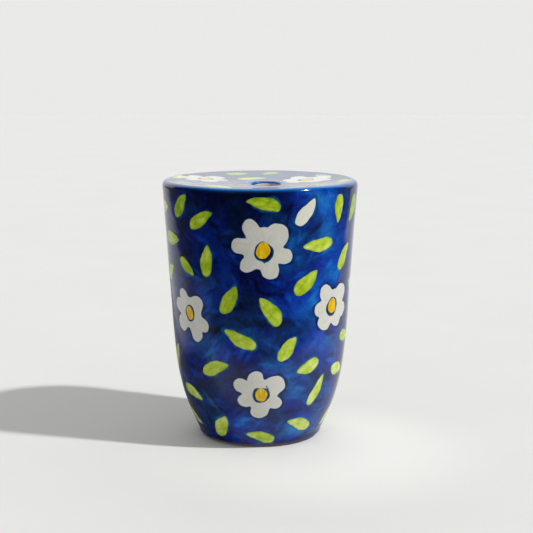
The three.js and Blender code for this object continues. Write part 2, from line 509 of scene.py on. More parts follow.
class Canvas:
    """The coat's points, and what is painted at each."""

    def __init__(self, azimuth, radius, arc_length, flat, is_top):
        self.azimuth = azimuth
        self.radius = radius
        self.arc_length = arc_length
        self.flat = flat
        self.is_top = is_top
        count = len(azimuth)
        self.petal, self.leaf, self.eye, self.ring = (np.full(count, FAR) for _ in range(4))
        self.wash = np.zeros(count)
        self.petal_place = np.zeros((count, 3))
        self.leaf_place = np.zeros((count, 3))

    def around(self, place, on_top):
        """Every point's place in millimetres about a place on the wall or on the top."""
        if on_top:
            local = self.flat - np.array(place)
            return np.where(self.is_top[:, None], local, 4 * FAR)
        degrees, height = place
        turn = (self.azimuth - math.radians(degrees) + math.pi) % (2 * math.pi) - math.pi
        up = self.arc_length - wall_arc_length(height)
        local = np.stack([turn * self.radius, up], axis=-1)
        return np.where(self.is_top[:, None], 4 * FAR, local)

    def near(self, place, on_top=False, reach=FAR):
        """Which points are near to a place, and where they are about it."""
        whole = self.around(place, on_top)
        near = np.flatnonzero(np.abs(whole).max(axis=1) < reach)
        return near, whole[near]


def wall_arc_length(height, steps=39):
    """Length up the wall's curve to a height."""
    radii = [wall_radius(z) for z in np.linspace(0, height, steps + 1)]
    return sum(math.hypot(b - a, height / steps) for a, b in zip(radii, radii[1:]))


def turned(points, degrees):
    a = math.radians(degrees)
    x = points[:, 0] * math.cos(a) + points[:, 1] * math.sin(a)
    y = points[:, 1] * math.cos(a) - points[:, 0] * math.sin(a)
    return np.stack([x, y], axis=-1)


def keep_closer(layer, near, distance):
    """Keeps the shorter distance at each point, and tells where that is the new one."""
    closer = distance < layer[near]
    layer[near] = np.minimum(layer[near], distance)
    return closer


def lay(layer, places, near, distance, along, across, tone):
    """Lays a stroke on a layer, with how far along and across it each point is."""
    closer = keep_closer(layer, near, distance)
    drawn = np.stack([along, across, np.full(len(near), tone)], axis=-1)
    places[near[closer]] = drawn[closer]


def paint_flower(canvas, shape, place, turn, tone, on_top=False):
    near, upright = canvas.near(place, on_top)
    points = turned(upright, turn)
    flower = FLOWER_SHAPES[shape]
    seed = place[0] * 0.13 + place[1] * 0.07
    petal = petals_distance(wobble(points, seed), flower["petals"], flower["heart"])
    angle = np.arctan2(points[:, 1], points[:, 0])
    lay(canvas.petal, canvas.petal_place, near, petal, angle * 8, petal, tone)

    breadth, height, pointed = flower["eye"]
    keep_closer(canvas.eye, near, oval_distance(wobble(points, seed + 1), breadth, height, pointed))
    unsteady = wobble(points, seed + 2)
    for shift_x, shift_y, wider in flower["ovals"]:
        moved = unsteady - np.array([shift_x, shift_y])
        oval = oval_distance(moved, breadth + 2 * wider, height + 2 * wider, pointed)
        keep_closer(canvas.ring, near, oval)
    if flower["spur"]:
        begin, end = np.array(flower["spur"])
        keep_closer(canvas.ring, near, stroke_distance(unsteady - begin, end - begin, 0.9))


def leaf_frame(start, end, on_top):
    """A leaf's length, and the direction that it points in, from its two ends."""
    if on_top:
        run = np.array(end, float) - np.array(start)
    else:
        height = (start[1] + end[1]) / 2
        sideways = math.radians(end[0] - start[0]) * wall_radius(height)
        run = np.array([sideways, wall_arc_length(end[1]) - wall_arc_length(start[1])])
    return np.linalg.norm(run), math.degrees(math.atan2(run[1], run[0]))


def paint_leaf(canvas, start, end, breadth, bend, tone, on_top=False, white=False):
    length, direction = leaf_frame(start, end, on_top)
    near, upright = canvas.near(start, on_top)
    points = turned(upright, direction)
    seed = start[0] * 0.31 + start[1] * 0.17
    distance = outline_distance(wobble(points, seed), leaf_outline(length, breadth, bend))
    target = canvas.petal if white else canvas.leaf
    places = canvas.petal_place if white else canvas.leaf_place
    lay(target, places, near, distance, points[:, 0] / length, points[:, 1], tone)


def paint_wash_and_light(canvas, place, half_breadth, half_height, lighter):
    local = canvas.around(place, False)
    amount = np.exp(-((local[:, 0] / half_breadth) ** 2) - (local[:, 1] / half_height) ** 2)
    canvas.wash += lighter * amount


def paint_dabs(canvas, rng):
    """Short strokes of thinner and thicker blue all over the wall, each near to its neighbours' slant."""
    for _ in range(DABS):
        place = (rng.uniform(-180, 180), rng.uniform(0, HEIGHT))
        half_length = rng.uniform(*DAB_LENGTH) / 2
        half_breadth = rng.uniform(*DAB_BREADTH) / 2
        slant = 50 * math.sin(math.radians(place[0]) * 3 + place[1] * 0.05) + rng.uniform(-35, 35)
        lighter = rng.uniform(-1, 1) * DAB_STRENGTH
        near, upright = canvas.near(place, reach=DAB_LENGTH[1])
        points = turned(upright, slant)
        along = (points[:, 0] / half_length) ** 2
        across = (points[:, 1] / half_breadth) ** 2
        canvas.wash[near] += lighter * np.exp(-(along + across) ** 2)


def spare_leaves(rng):
    """Leaves for the part of the wall that no listed leaf or flower covers."""
    taken = [(place, FLOWER_ROOM) for _, place, _ in WALL_FLOWERS]
    for start, end, _, _ in WALL_LEAVES + WHITE_LEAVES:
        for share in (0.15, 0.5, 0.85):
            taken.append((tuple(a + (b - a) * share for a, b in zip(start, end)), LEAF_ROOM))
    leaves = []
    for _ in range(SPARE_TRIES):
        if len(leaves) == SPARE_LEAVES:
            break
        middle = (rng.uniform(*SPARE_DEGREES), rng.uniform(*SPARE_MIDDLES))
        length = rng.uniform(*SPARE_LENGTH)
        breadth = rng.uniform(*SPARE_BREADTH)
        direction = rng.uniform(0, 2 * math.pi)
        degrees = math.degrees(math.cos(direction) * length / 2 / wall_radius(middle[1]))
        rise = math.sin(direction) * length / 2
        ends = [(middle[0] + s * degrees, middle[1] + s * rise) for s in (-1, 1)]
        parts = [ends[0], middle, ends[1]]
        if any(not SPARE_ENDS[0] <= height <= SPARE_ENDS[1] for _, height in ends):
            continue
        if all(is_clear(part, taken) for part in parts):
            leaves.append((*ends, breadth, rng.uniform(-0.8, 0.8)))
            taken.extend((part, LEAF_ROOM) for part in parts)
    return leaves


def is_clear(part, taken):
    for place, size in taken:
        turn = math.radians((part[0] - place[0] + 180) % 360 - 180)
        sideways = turn * wall_radius(part[1])
        if math.hypot(sideways, part[1] - place[1]) < size + SPARE_CLEAR:
            return False
    return True


def paint_everything(canvas):
    rng = random.Random(PAINT_SEED)
    # Flowers are painted greyer higher up and whiter lower down, and leaves paler lower down.
    for shape, place, turn in WALL_FLOWERS:
        tone = rng.uniform(0.8, 1.2) - 2 * place[1] / HEIGHT
        paint_flower(canvas, shape, place, turn, tone)
    for shape, place, turn in TOP_FLOWERS:
        paint_flower(canvas, shape, place, turn, rng.random(), on_top=True)
    for start, end, breadth, bend in WALL_LEAVES + spare_leaves(rng):
        pale = 0.6 * rng.random() + 0.8 * (1 - start[1] / HEIGHT)
        paint_leaf(canvas, start, end, breadth, bend, pale)
    for start, end, breadth, bend in TOP_LEAVES:
        paint_leaf(canvas, start, end, breadth, bend, rng.random(), on_top=True)
    for start, end, breadth, bend in WHITE_LEAVES:
        paint_leaf(canvas, start, end, breadth, bend, 0.5)
        paint_leaf(canvas, start, end, breadth, bend, 0.5, white=True)
    # The listed washes are partly painted light and shade.
    for place, half_breadth, half_height, lighter in WASHES_AND_PAINTED_LIGHT:
        paint_wash_and_light(canvas, place, half_breadth, half_height, lighter)
    for _ in range(SPARE_WASHES):
        place = (rng.uniform(88, 272), rng.uniform(5, 155))
        paint_wash_and_light(canvas, place, rng.uniform(8, 14), rng.uniform(7, 12), rng.uniform(-0.25, 0.35))
    paint_dabs(canvas, rng)


# ---- Nodes ----


def fill(tree, node, inputs):
    """Gives a node's inputs their values, or links them to the sockets given."""
    for key, value in inputs.items():
        if isinstance(value, bpy.types.NodeSocket):
            tree.links.new(value, node.inputs[key])
        else:
            node.inputs[key].default_value = value


def add(tree, kind, inputs=None, **settings):
    """A node with its settings, and its inputs given as values or as the sockets to link."""
    node = tree.nodes.new(kind)
    for name, value in settings.items():
        setattr(node, name, value)
    fill(tree, node, inputs or {})
    return node


def new_group(name, tree_kind, inputs, outputs):
    """An empty group of nodes. Inputs and outputs are (name, kind, value), and a value may be None."""
    group = bpy.data.node_groups.new(name, tree_kind)
    for side, sockets in (("INPUT", inputs), ("OUTPUT", outputs)):
        for label, kind, value in sockets:
            socket = group.interface.new_socket(label, in_out=side, socket_type="NodeSocket" + kind)
            if value is not None:
                socket.default_value = value
    return group, add(group, "NodeGroupInput").outputs


def math_step(tree, operation, a, b=0.0, c=0.0):
    return add(tree, "ShaderNodeMath", {0: a, 1: b, 2: c}, operation=operation).outputs[0]


def times(tree, *factors):
    product = factors[0]
    for factor in factors[1:]:
        product = math_step(tree, "MULTIPLY", product, factor)
    return product


def less(tree, a, b):
    return math_step(tree, "SUBTRACT", a, b)


def weighted(tree, terms, start=0.0):
    """`start`, with every value added to it times its weight."""
    total = start
    for value, weight in terms:
        total = math_step(tree, "MULTIPLY_ADD", value, weight, total)
    return total


def split(tree, vector):
    return add(tree, "ShaderNodeSeparateXYZ", {0: vector}).outputs


def join(tree, x, y, z):
    return add(tree, "ShaderNodeCombineXYZ", {0: x, 1: y, 2: z}).outputs[0]


def scaled(tree, vector, scale):
    return add(tree, "ShaderNodeVectorMath", {0: vector, "Scale": scale}, operation="SCALE").outputs[0]


def distance_to(tree, vector, centre):
    inputs = {0: vector, 1: centre}
    return add(tree, "ShaderNodeVectorMath", inputs, operation="DISTANCE").outputs["Value"]


# ---- Geometry Nodes ----


def hand_finish_tree():
    """Turns a true round shape into a hand-made one: slow waves, and the wheel's spiral grooves.

    The waves shift every piece by an amount that depends only on the place, so that pieces which lie
    against each other stay together. They fade out towards the table, where the foot stays flat.
    """
    sizes = ["Wave height", "Waves per metre", "Steady below", "Groove depth", "Groove pitch", "Relief"]
    inputs = [("Geometry", "Geometry", None), ("Finish", "Material", None)]
    inputs += [(name, "Float", 0.0) for name in [*sizes, "Seed"]]
    outputs = [("Geometry", "Geometry", None)]
    tree, given = new_group("hand_finish", "GeometryNodeTree", inputs, outputs)

    position = add(tree, "GeometryNodeInputPosition").outputs[0]
    waves = {"Vector": position, "W": given["Seed"], "Scale": given["Waves per metre"], "Detail": 1.0}
    slow = add(tree, "ShaderNodeTexNoise", waves, noise_dimensions="4D").outputs
    parts = split(tree, position)
    lift = {"Value": parts["Z"], "From Max": given["Steady below"], "To Max": given["Wave height"]}
    strength = add(tree, "ShaderNodeMapRange", lift).outputs[0]
    halves = {0: slow["Color"], 1: (0.5, 0.5, 0.5)}
    middle = add(tree, "ShaderNodeVectorMath", halves, operation="SUBTRACT").outputs[0]
    wave = scaled(tree, middle, strength)

    turn = math_step(tree, "ARCTAN2", parts["Y"], parts["X"])
    climb = math_step(tree, "DIVIDE", parts["Z"], given["Groove pitch"])
    uneven = weighted(tree, [(slow["Fac"], GROOVE_WANDER)], climb)
    spiral = math_step(tree, "SINE", weighted(tree, [(uneven, 2 * math.pi)], turn))
    thickness = add(tree, "GeometryNodeInputNamedAttribute", {"Name": "relief"}, data_type="FLOAT").outputs[0]
    proud = weighted(tree, [(spiral, given["Groove depth"]), (thickness, given["Relief"])])
    outward = scaled(tree, add(tree, "GeometryNodeInputNormal").outputs[0], proud)
    offset = add(tree, "ShaderNodeVectorMath", {0: wave, 1: outward}, operation="ADD").outputs[0]

    moved = add(tree, "GeometryNodeSetPosition", {"Geometry": given["Geometry"], "Offset": offset})
    real = add(tree, "GeometryNodeRealizeInstances", {0: moved.outputs[0]})
    finished = add(tree, "GeometryNodeSetMaterial", {0: real.outputs[0], "Material": given["Finish"]})
    add(tree, "NodeGroupOutput", {0: finished.outputs[0]})
    return tree


def finish_by_hand(piece, tree, material, groove=0.0, pitch=4.0, relief=0.0):
    """Puts the hand finish on a piece and leaves it a plain mesh."""
    values = {
        "Finish": material,
        "Wave height": 2 * HAND_WAVE * MM,
        "Waves per metre": 1 / (HAND_WAVE_LENGTH * MM),
        "Steady below": HAND_STEADY * MM,
        "Groove depth": groove * MM,
        "Groove pitch": pitch * MM,
        "Relief": relief * MM,
        "Seed": HAND_SEED,
    }
    modifier = piece.modifiers.new("hand_finish", "NODES")
    modifier.node_group = tree
    for item in tree.interface.items_tree:
        if item.in_out == "INPUT" and item.name in values:
            modifier[item.identifier] = values[item.name]
    bpy.context.view_layer.update()
    graph = bpy.context.evaluated_depsgraph_get()
    plain = bpy.data.meshes.new_from_object(piece.evaluated_get(graph), depsgraph=graph)
    piece.modifiers.remove(modifier)
    rough = piece.data
    piece.data = plain
    bpy.data.meshes.remove(rough)
    piece.data.name = piece.name
    return piece


# ---- Shader nodes and groups ----


def use_group(tree, name, **inputs):
    """What a shader group gives, with its values in this material."""
    return add(tree, "ShaderNodeGroup", inputs, node_tree=bpy.data.node_groups[name]).outputs[0]


def noise(tree, vector, scale, detail=2.0, roughness=0.5, distortion=0.0):
    inputs = dict(Vector=vector, Scale=scale, Detail=detail, Roughness=roughness, Distortion=distortion)
    return add(tree, "ShaderNodeTexNoise", inputs).outputs["Fac"]


def ramp(tree, value, stops):
    """A colour ramp. Stops are (position, colour)."""
    node = add(tree, "ShaderNodeValToRGB", {"Fac": value})
    elements = node.color_ramp.elements
    while len(elements) < len(stops):
        elements.new(0.5)
    for element, (position, colour) in zip(elements, stops):
        element.position = position
        element.color = (*colour, 1)
    return node.outputs["Color"]


def remap(tree, value, low, high, to_low=0.0, to_high=1.0):
    inputs = {"Value": value, "From Min": low, "From Max": high, "To Min": to_low, "To Max": to_high}
    return add(tree, "ShaderNodeMapRange", inputs, interpolation_type="SMOOTHSTEP").outputs["Result"]


def mix(tree, factor, a, b):
    a, b = ((*colour, 1) if isinstance(colour, tuple) else colour for colour in (a, b))
    return add(tree, "ShaderNodeMix", {0: factor, 6: a, 7: b}, data_type="RGBA").outputs[2]


def lay_over(tree, under, mask, strength, over):
    """One colour laid over another where the mask is 1, as densely as the strength says."""
    return mix(tree, times(tree, mask, strength), under, over)


def bumped(tree, height, strength, depth):
    """The way that the surface faces where it is embossed, `depth` millimetres deep at the most."""
    inputs = {"Height": height, "Strength": strength, "Distance": depth * MM}
    return add(tree, "ShaderNodeBump", inputs).outputs[0]


def brush_streaks_group():
    """Streaks that a brush leaves: long in one direction of the vector given, short in the other."""
    inputs = [("Vector", "Vector", None), ("Across", "Float", 1.0), ("Along", "Float", 0.1)]
    group, given = new_group("brush_streaks", "ShaderNodeTree", inputs, [("Streak", "Float", None)])
    parts = split(group, given["Vector"])
    along = times(group, parts["X"], given["Along"])
    across = times(group, parts["Y"], given["Across"])
    vector = join(group, along, across, parts["Z"])
    coarse = noise(group, vector, 1.0, detail=3.0, roughness=0.6, distortion=0.3)
    add(group, "NodeGroupOutput", {0: remap(group, coarse, 0.3, 0.7)})


def paint_edge_group():
    """1 inside a painted outline and 0 outside, from the distance to it."""
    inputs = [("Distance", "Float", 0.0), ("Line", "Float", 0.0), ("Softness", "Float", 0.15)]
    group, given = new_group("paint_edge", "ShaderNodeTree", inputs, [("Mask", "Float", None)])
    inner = less(group, given["Line"], given["Softness"])
    outer = math_step(group, "ADD", given["Line"], given["Softness"])
    add(group, "NodeGroupOutput", {0: remap(group, given["Distance"], inner, outer, 1.0, 0.0)})


def fired_specks_group():
    """Sparse specks and pinholes that a kiln leaves in clay and glaze."""
    inputs = [("Vector", "Vector", None), ("Scale", "Float", 1.0), ("Size", "Float", 0.15)]
    group, given = new_group("fired_specks", "ShaderNodeTree", inputs, [("Speck", "Float", None)])
    cells = add(group, "ShaderNodeTexVoronoi", {"Vector": given["Vector"], "Scale": given["Scale"]})
    spot = remap(group, cells.outputs["Distance"], 0.0, given["Size"], 1.0, 0.0)
    lottery = add(group, "ShaderNodeSeparateColor", {0: cells.outputs["Color"]}).outputs[0]
    add(group, "NodeGroupOutput", {0: times(group, spot, remap(group, lottery, 0.8, 0.84))})


# ---- Materials ----


def new_material(name):
    material = bpy.data.materials.new(name)
    material.use_nodes = True
    tree = material.node_tree
    return material, tree, tree.nodes["Principled BSDF"]


def millimetres(tree):
    """The piece's own coordinates, in millimetres."""
    return scaled(tree, add(tree, "ShaderNodeTexCoord").outputs["Object"], 1 / MM)


def attribute(tree, name, output="Fac"):
    return add(tree, "ShaderNodeAttribute", attribute_name=name).outputs[output]


def within(tree, distance, softness, line=0.0):
    """1 where the distance is below the line, and 0 where it is above."""
    return use_group(tree, "paint_edge", Distance=distance, Line=line, Softness=softness)


def streaks(tree, vector, across, along):
    return use_group(tree, "brush_streaks", Vector=vector, Across=across, Along=along)


def specks(tree, vector, scale, size):
    return use_group(tree, "fired_specks", Vector=vector, Scale=scale, Size=size)


def blue_ground(tree, spot, petal, leaf, wash, thin):
    """Cobalt brushed on in overlapping patches, thin and bright or thick and nearly black."""
    patches = noise(tree, spot, 0.06, detail=3.0, roughness=0.55, distortion=0.8)
    strokes = noise(tree, spot, 0.2, detail=4.0, roughness=0.6, distortion=1.6)
    # The wash attribute carries painted light and shade as well as the blue's thin and thick patches.
    body = weighted(tree, [(wash, 1.0), (patches, 0.4), (strokes, 0.4)], 0.05)
    cobalt = ramp(tree, body, [(thinness, blue) for thinness, blue, _ in BLUES])
    teal = ramp(tree, body, [(thinness, blue) for thinness, _, blue in BLUES])
    greener = remap(tree, noise(tree, spot, 0.05), 0.42, 0.66)
    colour = mix(tree, greener, cobalt, teal)

    unsteady = times(tree, noise(tree, spot, 0.13, detail=1.0), 6.0)
    contour = within(tree, petal, 0.7, less(tree, unsteady, 2.0))
    colour = lay_over(tree, colour, contour, 0.75, (0.0005, 0.004, 0.03))
    halo = within(tree, leaf, 0.9, less(tree, unsteady, 2.7))
    colour = lay_over(tree, colour, halo, 0.65, (0.004, 0.11, 0.27))
    bleed = within(tree, petal, 0.3, 0.3)
    colour = lay_over(tree, colour, bleed, 0.6, (0.004, 0.10, 0.30))
    return lay_over(tree, colour, thin, 0.9, (0.0005, 0.15, 0.54))


def leaf_green(tree, leaf):
    """Copper green over yellow, streaked from stalk to tip, each leaf in a tone of its own."""
    drawn = attribute(tree, "leaf_place", "Vector")
    parts = split(tree, drawn)
    streak = streaks(tree, drawn, 0.8, 2.5)
    fine = streaks(tree, drawn, 2.6, 4.0)
    puddle = noise(tree, millimetres(tree), 0.22, detail=1.0)
    shares = [(fine, 0.08), (streak, 0.22), (puddle, 0.7), (parts["Z"], 0.45), (parts["Y"], 0.025)]
    green = ramp(tree, weighted(tree, shares, -0.10), LEAF_GREENS)
    thin_edge = remap(tree, leaf, -0.9, 0.0)
    return lay_over(tree, green, thin_edge, 0.4, (0.06, 0.20, 0.01))


def petal_white(tree):
    """Warm white laid on in strokes that follow the petals' outline."""
    drawn = attribute(tree, "petal_place", "Vector")
    tone = split(tree, drawn)["Z"]
    streak = streaks(tree, drawn, 0.9, 0.2)
    puddle = noise(tree, millimetres(tree), 0.2, detail=3.0)
    return ramp(tree, weighted(tree, [(tone, 0.3), (streak, 0.28), (puddle, 0.5)]), PETAL_WHITES)


def eye_orange(tree, spot):
    """Antimony yellow over orange, drawn up and down."""
    parts = split(tree, spot)
    upright = join(tree, parts["Z"], parts["X"], parts["Y"])
    return ramp(tree, streaks(tree, upright, 1.3, 0.12), EYE_ORANGES)


def painted_glaze():
    material, tree, shader = new_material("painted_glaze")
    spot = millimetres(tree)
    names = ("petal", "leaf", "eye", "ring", "wash", "thin")
    petal, leaf, eye, ring, wash, thin = (attribute(tree, name) for name in names)

    colour = blue_ground(tree, spot, petal, leaf, wash, thin)
    on_leaf = within(tree, leaf, 0.16)
    colour = mix(tree, on_leaf, colour, leaf_green(tree, leaf))
    on_petal = within(tree, petal, 0.16)
    colour = lay_over(tree, colour, on_petal, 0.94, petal_white(tree))
    ring_colour = mix(tree, remap(tree, ring, -1.4, 0.1), (0.0006, 0.005, 0.035), (0.003, 0.07, 0.19))
    colour = mix(tree, within(tree, ring, 0.2), colour, ring_colour)
    colour = mix(tree, within(tree, eye, 0.15), colour, eye_orange(tree, spot))
    pinholes = specks(tree, spot, 0.32, 0.09)
    colour = lay_over(tree, colour, pinholes, 0.55, (0.02, 0.02, 0.03))

    painted = math_step(tree, "MAXIMUM", on_leaf, on_petal)
    gloss = remap(tree, noise(tree, spot, 0.2, detail=3.0), 0.3, 0.7, 0.07, 0.14)
    ripple = noise(tree, spot, 0.5)
    sag = noise(tree, spot, 0.14, detail=1.0)
    height = weighted(tree, [(ripple, 0.25), (painted, 0.4), (sag, 2.5), (pinholes, -0.3)])
    roughness = weighted(tree, [(painted, 0.05)], gloss)
    normal = bumped(tree, height, 0.25, 0.15)
    fill(tree, shader, {"Base Color": colour, "Roughness": roughness, "IOR": 1.45, "Normal": normal})
    return material


def clay_colour(tree, spot, stops):
    """Fired clay: warm, blotchy, with grit and the wheel's fine lines."""
    parts = split(tree, spot)
    around = math_step(tree, "ARCTAN2", parts["Y"], parts["X"])
    radius = distance_to(tree, join(tree, parts["X"], parts["Y"], 0.0), (0, 0, 0))
    pulled = math_step(tree, "ADD", parts["Z"], radius)
    lines = streaks(tree, join(tree, around, pulled, 0.0), 1.8, 2.0)
    blotches = noise(tree, spot, 0.12, detail=4.0, roughness=0.6)
    grit = specks(tree, spot, 0.9, 0.3)
    colour = ramp(tree, weighted(tree, [(blotches, 0.65), (lines, 0.35)]), stops)
    return lay_over(tree, colour, grit, 0.6, (0.20, 0.10, 0.055)), grit, lines


def bare_clay():
    """Clay with no glaze on it, painted paler close to the mouth."""
    material, tree, shader = new_material("bare_clay")
    spot = millimetres(tree)
    colour, grit, lines = clay_colour(tree, spot, DRY_CLAY)
    to_mouth = distance_to(tree, spot, (*MOUTH_CENTRE, MOUTH_LEVEL))
    colour = mix(tree, remap(tree, to_mouth, 12, 16, 0.8, 0.0), colour, (0.80, 0.68, 0.60))
    grain = noise(tree, spot, 2.5, detail=3.0, roughness=0.7)
    height = weighted(tree, [(lines, 0.3), (grain, 0.5), (grit, 0.5)])
    normal = bumped(tree, height, 0.6, 0.25)
    fill(tree, shader, {"Base Color": colour, "Roughness": 0.85, "Normal": normal})
    return material


def clear_glaze():
    """The liner: the clay seen through clear glaze, milky where it has pooled."""
    material, tree, shader = new_material("clear_glaze")
    spot = millimetres(tree)
    colour, _, lines = clay_colour(tree, spot, WET_CLAY)
    cloudy = remap(tree, noise(tree, spot, 0.06), 0.4, 0.7, 0.0, 0.35)
    colour = mix(tree, cloudy, colour, (0.62, 0.55, 0.44))
    ripple = noise(tree, spot, 0.25)
    normal = bumped(tree, weighted(tree, [(lines, 0.3)], ripple), 0.3, 0.3)
    fill(tree, shader, {"Base Color": colour, "Roughness": 0.16, "IOR": 1.5, "Normal": normal})
    return material


def pale_floor():
    material, tree, shader = new_material("pale_floor")
    spot = millimetres(tree)
    mottle = noise(tree, spot, 0.01, detail=3.0)
    colour = ramp(tree, mottle, [(0.3, (0.69, 0.692, 0.688)), (0.7, (0.705, 0.707, 0.703))])

    # Painted reflection: for rays reflected off the glaze the floor's colour is darkened, so that the glaze
    # mirrors a table of limited size: bright close in front of the vase, dim further out, dark beyond its
    # slanting left and right edges. Painted shadow: it is darkened the same way where the vase's own shadow
    # lies, and at the front left.
    parts = split(tree, spot)
    left = weighted(tree, [(parts["Y"], 0.44)], parts["X"])
    right = weighted(tree, [(parts["Y"], -0.68)], parts["X"])
    limits = [
        (parts["Y"], -190, -120, 0.22, 1.0),
        (parts["Y"], -340, -200, 0.1, 1.0),
        (left, -470, -400, 0.09, 1.0),
        (right, 265, 330, 1.0, 0.05),
    ]
    mirrored = times(tree, *(remap(tree, *limit) for limit in limits))
    painted_shadow = [(parts["X"], -40, 0, 0.7, 0.0), (parts["X"], -240, -190), (parts["Y"], -85, -50)]
    painted_front_left_shade = [(parts["X"], -200, -120, 0.6, 0.0), (parts["Y"], 0, 110, 1.0, 0.0)]
    for dark in (painted_shadow, painted_front_left_shade):
        darkness = times(tree, *(remap(tree, *limit) for limit in dark))
        mirrored = times(tree, mirrored, less(tree, 1.0, darkness))
    glossy = add(tree, "ShaderNodeLightPath").outputs["Is Glossy Ray"]

    # Painted light: the floor is painted paler in front of the foot, for the key light that the glaze
    # throws down on the table. Reflected rays don't see it.
    painted_light_pool = remap(tree, distance_to(tree, spot, LIT_PATCH), *LIT_PATCH_REACH, 1.0, 0.0)
    colour = lay_over(tree, colour, painted_light_pool, less(tree, 1.0, glossy), (0.825, 0.82, 0.81))
    # Only reflected rays see the painted reflection and painted shadow.
    painted_reflection_factor = weighted(tree, [(glossy, less(tree, mirrored, 1.0))], 1.0)
    colour = mix(tree, painted_reflection_factor, (0.0, 0.0, 0.0), colour)
    fill(tree, shader, {"Base Color": colour, "Roughness": 0.7})
    return material


# ---- The pieces ----


def wall_rows(depth, low, high, count):
    return [(wall_radius(z) - depth, z) for z in spread(low, high, count)]


def coat_rows():
    """The painted coat's rings: up the outside, over the top, into the mouth, and back underneath.

    Also gives how many of them are on the wall, and how many are painted.
    """
    foot = centred([(GLAZE_LINE_RADIUS - 0.3, GLAZE_LINE + 0.7)], run=0.6)
    turn_in = centred(arc(wall_radius(3.4) - 1.3, 3.4, 1.3, -75, -10, 5), run=0.5)
    wall = centred(wall_rows(WAVE_INSET, WALL_START, SHOULDER - 0.5, WALL_RINGS))
    rim = centred(arc(CREST_RADIUS, SHOULDER, RIM_ROUND - WAVE_INSET, 8, 90, RIM_RINGS))
    outside = foot + turn_in + wall + rim
    top = across_top(WAVE_INSET, 0, 1, TOP_RINGS)[1:]
    lip = in_mouth(arc(LIP_CENTRE, LIP_LEVEL - WAVE_INSET, LIP_ROUND, 80, 140, 5))
    for outward, above, run in [(0.12, 0.5, 0.35), (0.05, 0.35, 0.75), (0.02, 0.3, 1.1)]:
        lip += in_mouth([(MOUTH_RADIUS + outward, LIP_LEVEL + above)], run)
    painted = outside + top + lip
    edge = in_mouth([(MOUTH_RADIUS + GLAZE / 2, LIP_LEVEL + 0.1)], run=1.1)
    behind_lip = in_mouth(arc(LIP_CENTRE, LIP_LEVEL - WAVE_INSET, LIP_ROUND - GLAZE, 180, 90, 4))
    behind_top = across_top(GLAZE, 1, 0, 4)[1:]
    behind_rim = centred(arc(CREST_RADIUS, SHOULDER, RIM_ROUND - GLAZE, 90, 0, 3)[1:])
    behind_wall = centred(wall_rows(GLAZE, WALL_START + 0.2, SHOULDER - 2, 14)[::-1])
    behind_foot = centred([(GLAZE_LINE_RADIUS - 0.2, GLAZE_LINE + 1.4)], run=0.5)
    rows = painted + edge + behind_lip + behind_top + behind_rim + behind_wall + behind_foot
    return rows, len(outside), len(painted)


def store(mesh, name, values):
    if values.ndim == 1:
        layer = mesh.attributes.new(name, "FLOAT", "POINT")
        layer.data.foreach_set("value", values.astype(np.float32))
    else:
        layer = mesh.attributes.new(name, "FLOAT_VECTOR", "POINT")
        layer.data.foreach_set("vector", values.astype(np.float32).ravel())


def painted_coat(tree, material):
    rows, wall_count, painted_count = coat_rows()
    piece = closed_shell("painted_coat_glaze", rows, COAT_COLUMNS)
    points = ring_points(rows, COAT_COLUMNS)
    steps = np.linalg.norm(np.diff(points[:, 0], axis=0), axis=-1)
    up = np.concatenate([[0.0], np.cumsum(steps)])
    start_row = next(i for i, row in enumerate(rows) if row[1] == WALL_START)
    up += wall_arc_length(WALL_START) - up[start_row]
    row_number = np.repeat(np.arange(len(rows)), COAT_COLUMNS)
    flat = points.reshape(-1, 3)
    canvas = Canvas(
        azimuth=np.arctan2(flat[:, 0], -flat[:, 1]),
        radius=np.hypot(flat[:, 0], flat[:, 1]),
        arc_length=up[row_number],
        flat=flat[:, :2],
        is_top=row_number >= wall_count,
    )
    paint_everything(canvas)
    hidden = row_number >= painted_count
    for values in (canvas.petal, canvas.leaf, canvas.eye, canvas.ring):
        values[hidden] = FAR
    mesh = piece.data
    for name in ("petal", "leaf", "eye", "ring", "wash", "petal_place", "leaf_place"):
        store(mesh, name, getattr(canvas, name))
    from_edge = up[row_number] - up[wall_count - RIM_RINGS // 2]
    at_rim = np.exp(-((from_edge / RIM_BAND) ** 2))
    for azimuth, half_breadth in RIM_BAND_FADES:
        aside = (np.degrees(canvas.azimuth) - azimuth) / half_breadth
        at_rim *= 1 - RIM_BAND_FADE * np.exp(-(aside**2))
    thin = at_rim + (row_number > wall_count + TOP_RINGS - 3)
    store(mesh, "thin", np.where(hidden, 0.0, thin))
    # The white stands proud of the blue, and the green a little less.
    thick = np.clip(0.5 - canvas.petal, 0, 1) + 0.8 * np.clip(0.5 - canvas.leaf, 0, 1)
    store(mesh, "relief", np.where(hidden, 0.0, np.clip(thick, 0, 1)))
    return finish_by_hand(piece, tree, material, relief=LAYER_RELIEF)


def cup_inside(depth, high, count):
    corner_top = FLOOR_TOP + INNER_CORNER
    corner = wall_radius(corner_top) - CLAY_DEPTH - WALL - INNER_CORNER
    floor = [(r, FLOOR_TOP + depth) for r in spread(2, corner - 2, 8)]
    turn = arc(corner, corner_top, INNER_CORNER - depth, -90, 0, 10)
    wall = wall_rows(CLAY_DEPTH + WALL + depth, corner_top, high, count)[1:]
    return floor + turn + wall


def clay_cup(tree, material):
    """Wall and floor, with the wheel's grooves left inside."""
    foot = wall_radius(FLOOR_UNDERSIDE) - CLAY_DEPTH - 1.2
    underside = [(r, FLOOR_UNDERSIDE) for r in spread(2, foot, 14)]
    outside = wall_rows(CLAY_DEPTH, FLOOR_UNDERSIDE + 0.8, WALL_TOP - 0.3, 60)
    outer = wall_radius(WALL_TOP) - CLAY_DEPTH
    seat = [(r, WALL_TOP) for r in spread(outer - 0.3, outer - WALL + 0.3, 4)]
    inside = cup_inside(0, WALL_TOP - 0.3, 90)[::-1]
    rows = centred(underside + outside + seat + inside)
    piece = capped_shell("clay_cup", rows, CLAY_COLUMNS, FLOOR_UNDERSIDE, FLOOR_TOP)
    return finish_by_hand(piece, tree, material, groove=0.08, pitch=4.5)


